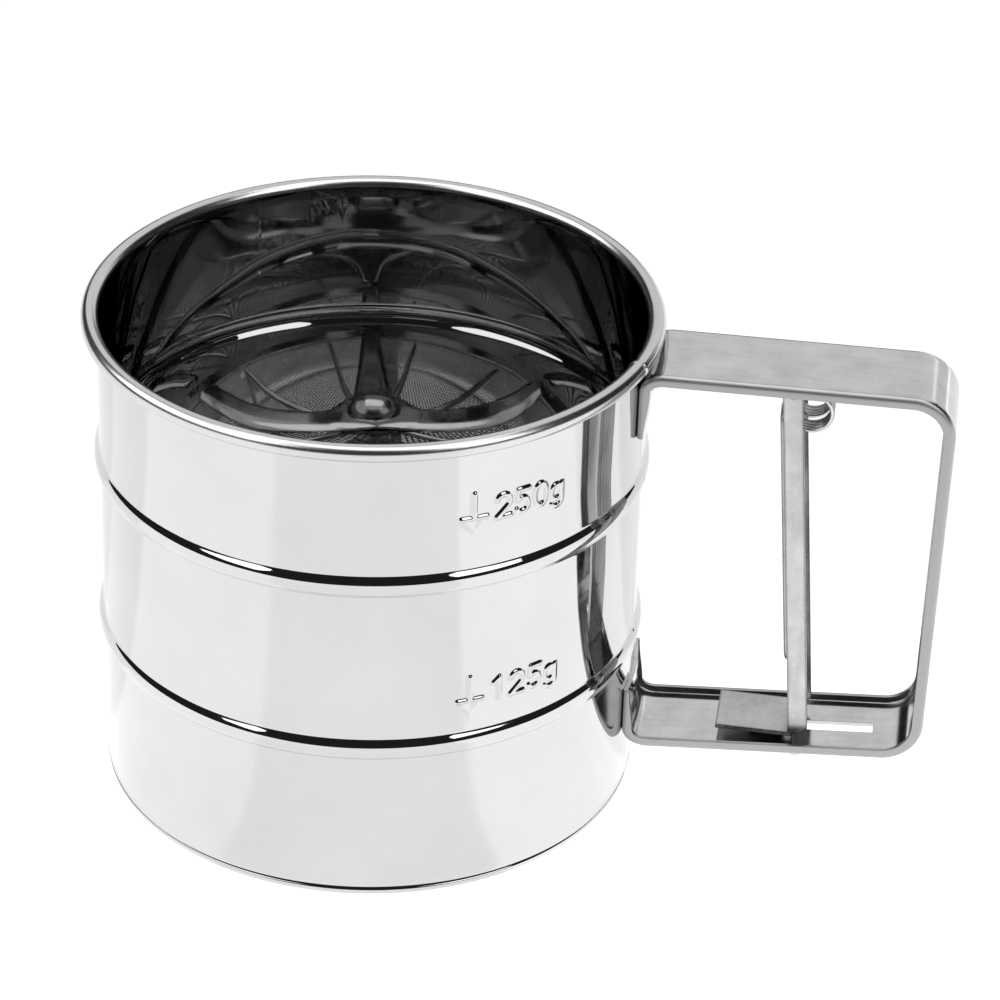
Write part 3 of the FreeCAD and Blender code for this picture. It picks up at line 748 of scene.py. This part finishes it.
def tube_along(path, radius, sides):
    """Points and faces of a round wire along a path, with flat ends."""
    points = []
    faces = []
    count = len(path)
    vectors = [Vector(p) for p in path]
    first = (vectors[1] - vectors[0]).normalized()
    helper = Vector((0, 0, 1)) if abs(first.z) < 0.9 else Vector((1, 0, 0))
    normal = first.cross(helper).normalized()
    for k, here in enumerate(vectors):
        before = vectors[max(0, k - 1)]
        after = vectors[min(count - 1, k + 1)]
        along = (after - before).normalized()
        normal = (normal - along * normal.dot(along)).normalized()
        other = along.cross(normal)
        for s in range(sides):
            turn = math.tau * s / sides
            points.append(here + normal * (radius * math.cos(turn)) + other * (radius * math.sin(turn)))
    for k in range(count - 1):
        a = k * sides
        b = a + sides
        faces += [(a + s, a + (s + 1) % sides, b + (s + 1) % sides, b + s) for s in range(sides)]
    faces.append(tuple(range(sides)))
    faces.append(tuple(range((count - 1) * sides, count * sides)))
    return points, faces


def spring_path(side):
    """One coil with its legs: from its rest under the strip, round, and in to the bail."""
    per_turn = 28
    count = round(COIL_TURNS * per_turn)
    start_y = side * COIL_OUTER_Y
    lead = [
        (PIVOT_X + 0.3, start_y, PIVOT_Z + 1.5),
        (PIVOT_X + 1.6, start_y, PIVOT_Z + 1.25),
        (PIVOT_X + 2.6, start_y, PIVOT_Z + 0.45),
    ]
    coil = []
    for k in range(count + 1):
        turn = math.radians(80) - math.tau * k / per_turn
        y = start_y - side * COIL_PITCH * k / per_turn
        coil.append((COIL_X + COIL_R * math.cos(turn), y, COIL_Z + COIL_R * math.sin(turn)))
    end_y = coil[-1][1]
    down = [
        (COIL_X - 4.05, end_y, COIL_Z - 1.6),
        (COIL_X - 4.3, end_y, COIL_Z - 4.5),
        (COIL_X - 4.1, end_y, COIL_Z - 7.2),
        (COIL_X - 3.9, end_y * 0.6, COIL_Z - 8.0),
    ]
    return lead + coil + down


def return_spring(material):
    front = spring_path(-1)
    back = spring_path(1)
    path = front + list(reversed(back))
    points, faces = tube_along(path, COIL_WIRE, 12)
    return piece("torsion_spring", points, faces, material, "trigger", ["return_spring"])


# ---------------------------------------------------------------- screen


def screen_height(radius):
    """The screen is drawn down a little in two rings."""
    low = 0.0
    for ring, wide, deep in SCREEN_CREASES:
        low -= deep * math.exp(-(((radius - ring) / wide) ** 2))
    return low


def weave_wire(offset, over, across):
    """One wavy wire of the weave, across X (across true) or Y; None where the eyelet is."""
    runs = []
    reach = math.sqrt(max(0.0, SCREEN_R**2 - offset**2))
    gap = math.sqrt(max(0.0, SCREEN_HOLE_R**2 - offset**2))
    spans = [(-reach, reach)] if gap == 0 else [(-reach, -gap), (gap, reach)]
    half = WEAVE_PITCH / 2
    for low, high in spans:
        first = math.ceil(low / half)
        last = math.floor(high / half)
        path = []
        for k in range(first, last + 1):
            run = k * half
            rise = WEAVE_WAVE * over * math.cos(math.pi * k / 2)
            z = SCREEN_Z + rise + screen_height(math.hypot(run, offset))
            path.append((run, offset, z) if across else (offset, run, z))
        if len(path) > 2:
            runs.append(path)
    return runs


def woven_screen(material):
    points = []
    faces = []
    count = int(SCREEN_R / WEAVE_PITCH)
    for across in (True, False):
        for k in range(-count, count + 1):
            over = (1 if k % 2 else -1) * (1 if across else -1)
            for path in weave_wire(k * WEAVE_PITCH, over, across):
                more, sides = tube_along(path, WEAVE_WIRE, 3)
                start = len(points)
                points += more
                faces += [tuple(start + v for v in face) for face in sides]
    return piece("woven_screen", points, faces, material, "cup", ["screen_mesh"])


# ---------------------------------------------------------------- agitator


def arm_half_width(x):
    """Half width of one arm's third of the stamping at a distance out along the arm."""
    third = math.pi / ARM_COUNT
    reach = (ARM_FILLET + ARM_HALF) / math.sin(third)
    centre = (reach * math.cos(third), reach * math.sin(third))
    if x <= arm_meet():
        return x * math.tan(third)
    if x <= centre[0]:
        return centre[1] - math.sqrt(ARM_FILLET**2 - (centre[0] - x) ** 2)
    tip = x - (ARM_REACH - ARM_TIP_R)
    if tip <= 0:
        return ARM_HALF
    return ARM_HALF - ARM_TIP_R + math.sqrt(max(0.0, ARM_TIP_R**2 - tip * tip))


def arm_height(x, y, half):
    """Crowned top of the stamping: low at its edges, high along its arms and at the hub."""
    edge = 1 - abs(y) / max(half, 0.01)
    radius = math.hypot(x, y)
    hub = max(0.0, 1 - (radius / HUB_R) ** 2)
    share = max(0.0, min(1.0, edge / 0.55))
    crown = ARM_CROWN * share * (2 - share)
    inside = max(0.0, min(1.0, (x - 2.0) / 6.0))
    return ARM_Z + ARM_T + crown * inside + ARM_CROWN * (1 - inside) + HUB_RISE * hub


def agitator_stamping(material):
    along = graded(HUB_HOLE_R, ARM_REACH, 1.2, [(HUB_HOLE_R, 9.0, 0.35), (43.0, ARM_REACH, 0.2)])
    across = [math.sin(math.pi / 2 * k / 12) for k in range(-12, 13)]
    wide = len(across)
    points = []
    faces = []
    for arm in range(ARM_COUNT):
        turn = math.radians(ARM_ANGLE + arm * 360 / ARM_COUNT)
        start = len(points)
        for side in (0, 1):
            for x in along:
                half = arm_half_width(x)
                for v in across:
                    y = v * half
                    scale = max(1.0, HUB_HOLE_R / math.hypot(x, y))
                    px, py = x * scale, y * scale
                    z = arm_height(px, py, half) - side * ARM_T
                    points.append((
                        px * math.cos(turn) - py * math.sin(turn),
                        px * math.sin(turn) + py * math.cos(turn),
                        z,
                    ))
        deep = len(along) * wide
        for r in range(len(along) - 1):
            for c in range(wide - 1):
                a = start + r * wide + c
                faces.append((a, a + 1, a + wide + 1, a + wide))
                faces.append((a + deep, a + deep + wide, a + deep + wide + 1, a + deep + 1))
            for c in (0, wide - 1):
                x = (along[r] + along[r + 1]) / 2
                if x < arm_meet():
                    continue
                a = start + r * wide + c
                faces.append((a, a + wide, a + deep + wide, a + deep))
        for r in (0, len(along) - 1):
            for c in range(wide - 1):
                a = start + r * wide + c
                faces.append((a, a + 1, a + deep + 1, a + deep))
    replaced = ["agitator_arms"]
    made = piece("agitator_stamping", points, faces, material, "agitator", replaced)
    build = bmesh.new()
    build.from_mesh(made.data)
    bmesh.ops.remove_doubles(build, verts=build.verts, dist=0.002 * MM)
    bmesh.ops.recalc_face_normals(build, faces=build.faces)
    build.to_mesh(made.data)
    build.free()
    sharpen(made, 50, 0.2)
    return made


def arm_meet():
    """Where, along an arm, the fillets of the neighbouring gaps begin."""
    third = math.pi / ARM_COUNT
    reach = (ARM_FILLET + ARM_HALF) / math.sin(third)
    return (reach - ARM_FILLET) * math.cos(third)


# ---------------------------------------------------------------- studio


def aim(thing, place, target):
    thing.location = place
    thing.rotation_euler = (Vector(target) - Vector(place)).to_track_quat("-Z", "Y").to_euler()


def softbox(name, place, target, size, light):
    """An even area light that only metal sees; light is what its face shines with."""
    lamp = bpy.data.lights.new(name, "AREA")
    lamp.shape = "RECTANGLE"
    lamp.size, lamp.size_y = size
    lamp.energy = light * math.pi * size[0] * size[1]
    thing = bpy.data.objects.new(name, lamp)
    bpy.context.scene.collection.objects.link(thing)
    aim(thing, place, target)
    thing.visible_camera = False
    thing.visible_diffuse = False


def studio():
    world = bpy.data.worlds.new("studio")
    bpy.context.scene.world = world
    world.use_nodes = True
    tree = world.node_tree
    back = tree.nodes["Background"]
    path = node(tree, "ShaderNodeLightPath")
    shade = node(tree, "ShaderNodeMix", data_type="RGBA")
    shade.inputs["A"].default_value = (0.018, 0.018, 0.019, 1)
    shade.inputs["B"].default_value = (1, 1, 1, 1)
    tree.links.new(path.outputs["Is Camera Ray"], shade.inputs["Factor"])
    tree.links.new(shade.outputs["Result"], back.inputs["Color"])

    sun = bpy.data.lights.new("daylight", "SUN")
    sun.energy = 1.25
    sun.angle = math.radians(120)
    lamp = bpy.data.objects.new("daylight", sun)
    bpy.context.scene.collection.objects.link(lamp)
    aim(lamp, (0.3, 0.2, 1.0), (0, 0, 0))
    lamp.visible_glossy = False

    softbox("top_card", (0, -0.18, 1.25), (0, -0.18, 0), (1.3, 0.9), 1.9)
    softbox("back_card", polar(90, 47, CARD_FAR), (0, 0, 0), (1.6, 1.25), 0.9)
    softbox("corner_card", polar(66, 11, CARD_FAR), (0, 0, 0), (0.8, 0.5), 0.8)
    softbox("left_card", polar(-161, 42, CARD_FAR), (0, 0, 0), (1.75, 0.85), 2.2)
    softbox("right_card", polar(-34, 42, CARD_FAR), (0, 0, 0), (0.62, 0.85), 2.2)


def polar(azimuth, height, far):
    """A place by its direction from +X, its angle above the floor and its distance."""
    a, e = math.radians(azimuth), math.radians(height)
    return (far * math.cos(e) * math.cos(a), far * math.cos(e) * math.sin(a), far * math.sin(e))


def floor():
    made = bpy.data.materials.new("floor_paper_painted_light")
    made.use_nodes = True
    tree = made.node_tree
    shader = tree.nodes["Principled BSDF"]
    place = node(tree, "ShaderNodeTexCoord").outputs["Object"]
    fibre = noise(tree, place, (1, 1, 1), 60, 4)
    colour = tint(tree, remap(tree, fibre, 0, 1), (0.84, 0.84, 0.845), (0.86, 0.86, 0.865))
    tree.links.new(colour, shader.inputs["Base Color"])

    split = node(tree, "ShaderNodeSeparateXYZ")
    tree.links.new(place, split.inputs[0])
    ahead = node(tree, "ShaderNodeMath", operation="MULTIPLY")
    ahead.inputs[1].default_value = -1
    tree.links.new(split.outputs["Y"], ahead.inputs[0])
    turn = node(tree, "ShaderNodeMath", operation="ARCTAN2")
    tree.links.new(split.outputs["X"], turn.inputs[0])
    tree.links.new(ahead.outputs[0], turn.inputs[1])
    share = remap(tree, turn.outputs[0], 0, 1, -math.pi, math.pi)
    # Painted light and shade: the floor's glow steps brighter and darker by sector round the cup,
    # darkest behind it, with a darker sector in front as a painted shadow.
    ramp = node(tree, "ShaderNodeValToRGB")
    tree.links.new(share, ramp.inputs[0])
    stops = ramp.color_ramp.elements
    while len(stops) < 2 * len(FLOOR_PAINTED_LIGHT_SECTORS):
        stops.new(0.5)
    edges = [-180.0] + [end for end, _ in FLOOR_PAINTED_LIGHT_SECTORS]
    for k, (end, value) in enumerate(FLOOR_PAINTED_LIGHT_SECTORS):
        for stop, degrees in ((stops[2 * k], edges[k] + 1), (stops[2 * k + 1], end - 1)):
            stop.position = 0.5 + degrees / 360
            stop.color = (value, value, value, 1)
    tree.links.new(ramp.outputs[0], shader.inputs["Emission Color"])
    shader.inputs["Roughness"].default_value = 0.9
    shader.inputs["Specular IOR Level"].default_value = 0.1
    shader.inputs["Emission Strength"].default_value = FLOOR_SHINE
    half = FLOOR_HALF
    mesh = bpy.data.meshes.new("studio_floor")
    corners = [(-half, -half, 0), (half, -half, 0), (half, half, 0), (-half, half, 0)]
    mesh.from_pydata(corners, [], [(0, 1, 2, 3)])
    mesh.materials.append(made)
    thing = bpy.data.objects.new("studio_floor", mesh)
    thing.rotation_euler = (0, 0, CAMERA_HEADING)
    bpy.context.scene.collection.objects.link(thing)


def camera():
    """Looks down at the cup's front, with the handle to the right."""
    lens = bpy.data.cameras.new("camera")
    lens.sensor_width = 36
    lens.lens = 136.43
    lens.clip_start = 0.01
    thing = bpy.data.objects.new("camera", lens)
    bpy.context.scene.collection.objects.link(thing)
    pitch = math.radians(31.06)
    roll = math.radians(1.72)
    turn = Matrix.Rotation(CAMERA_HEADING, 4, "Z")
    tilt = Matrix.Rotation(math.pi / 2 - pitch, 4, "X")
    spin = Matrix.Rotation(roll, 4, "Z")
    place = turn @ Vector((0.023735, -0.602426, 0.417040))
    thing.matrix_world = Matrix.Translation(place) @ turn @ tilt @ spin
    bpy.context.scene.camera = thing


# ---------------------------------------------------------------- the scene


def paint(names, material, bevel=0.0):
    """Give carried-over nodes their material and, where they need it, a soft edge."""
    for name in names:
        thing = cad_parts[name]
        thing.data.materials.clear()
        thing.data.materials.append(material)
        if bevel:
            sharpen(thing, 40, bevel)


def main():
    bpy.context.scene.view_settings.view_transform = "Standard"
    chrome = polished_steel(
        "polished_steel", (0.56, 0.56, 0.565), (0.6, 0.6, 0.6), 0.02, 0.04, 0.08, "inside_shade_and_rim"
    )
    inner = polished_steel("buffed_steel", (0.62, 0.62, 0.625), (0.72, 0.72, 0.72), 0.14, 0.24, 0.2)
    strip = satin_steel(
        "satin_strip", (0.46, 0.46, 0.465), (0.6, 0.6, 0.595), 0.13, 0.42, (0.06, 1, 1), "grain"
    )
    sheet = satin_steel(
        "satin_sheet", (0.37, 0.37, 0.37), (0.57, 0.565, 0.55), 0.22, 0.34, (1, 1, 0.08), painted_shade_edge_wide=0.8
    )
    wire = drawn_wire("spring_wire", (0.5, 0.5, 0.5), (0.66, 0.66, 0.65), 0.14, 0.26)
    mesh = drawn_wire("screen_wire", (0.24, 0.24, 0.24), (0.36, 0.36, 0.36), 0.16, 0.28)

    cup_shell(chrome)
    handle_strip(strip)
    return_spring(wire)
    woven_screen(mesh)
    agitator_stamping(inner)
    paint(["axle_cap", "screen_eyelet", "screen_ring_upper", "agitator_vanes"], inner)
    paint(["trigger", "hinge_bracket", "drive_lug"], sheet)
    paint(["screen_ring_lower", "under_bridge", "crank_arm", "vane_boss", "hub_sleeve"], sheet)
    paint(["axle_stud", "thrust_washer", "cap_washer", "hinge_pin", "link_rod", "hook_clip"], wire)
    paint(["crank_pin", "crank_clip"], wire)
    camera()
    floor()
    studio()


main()
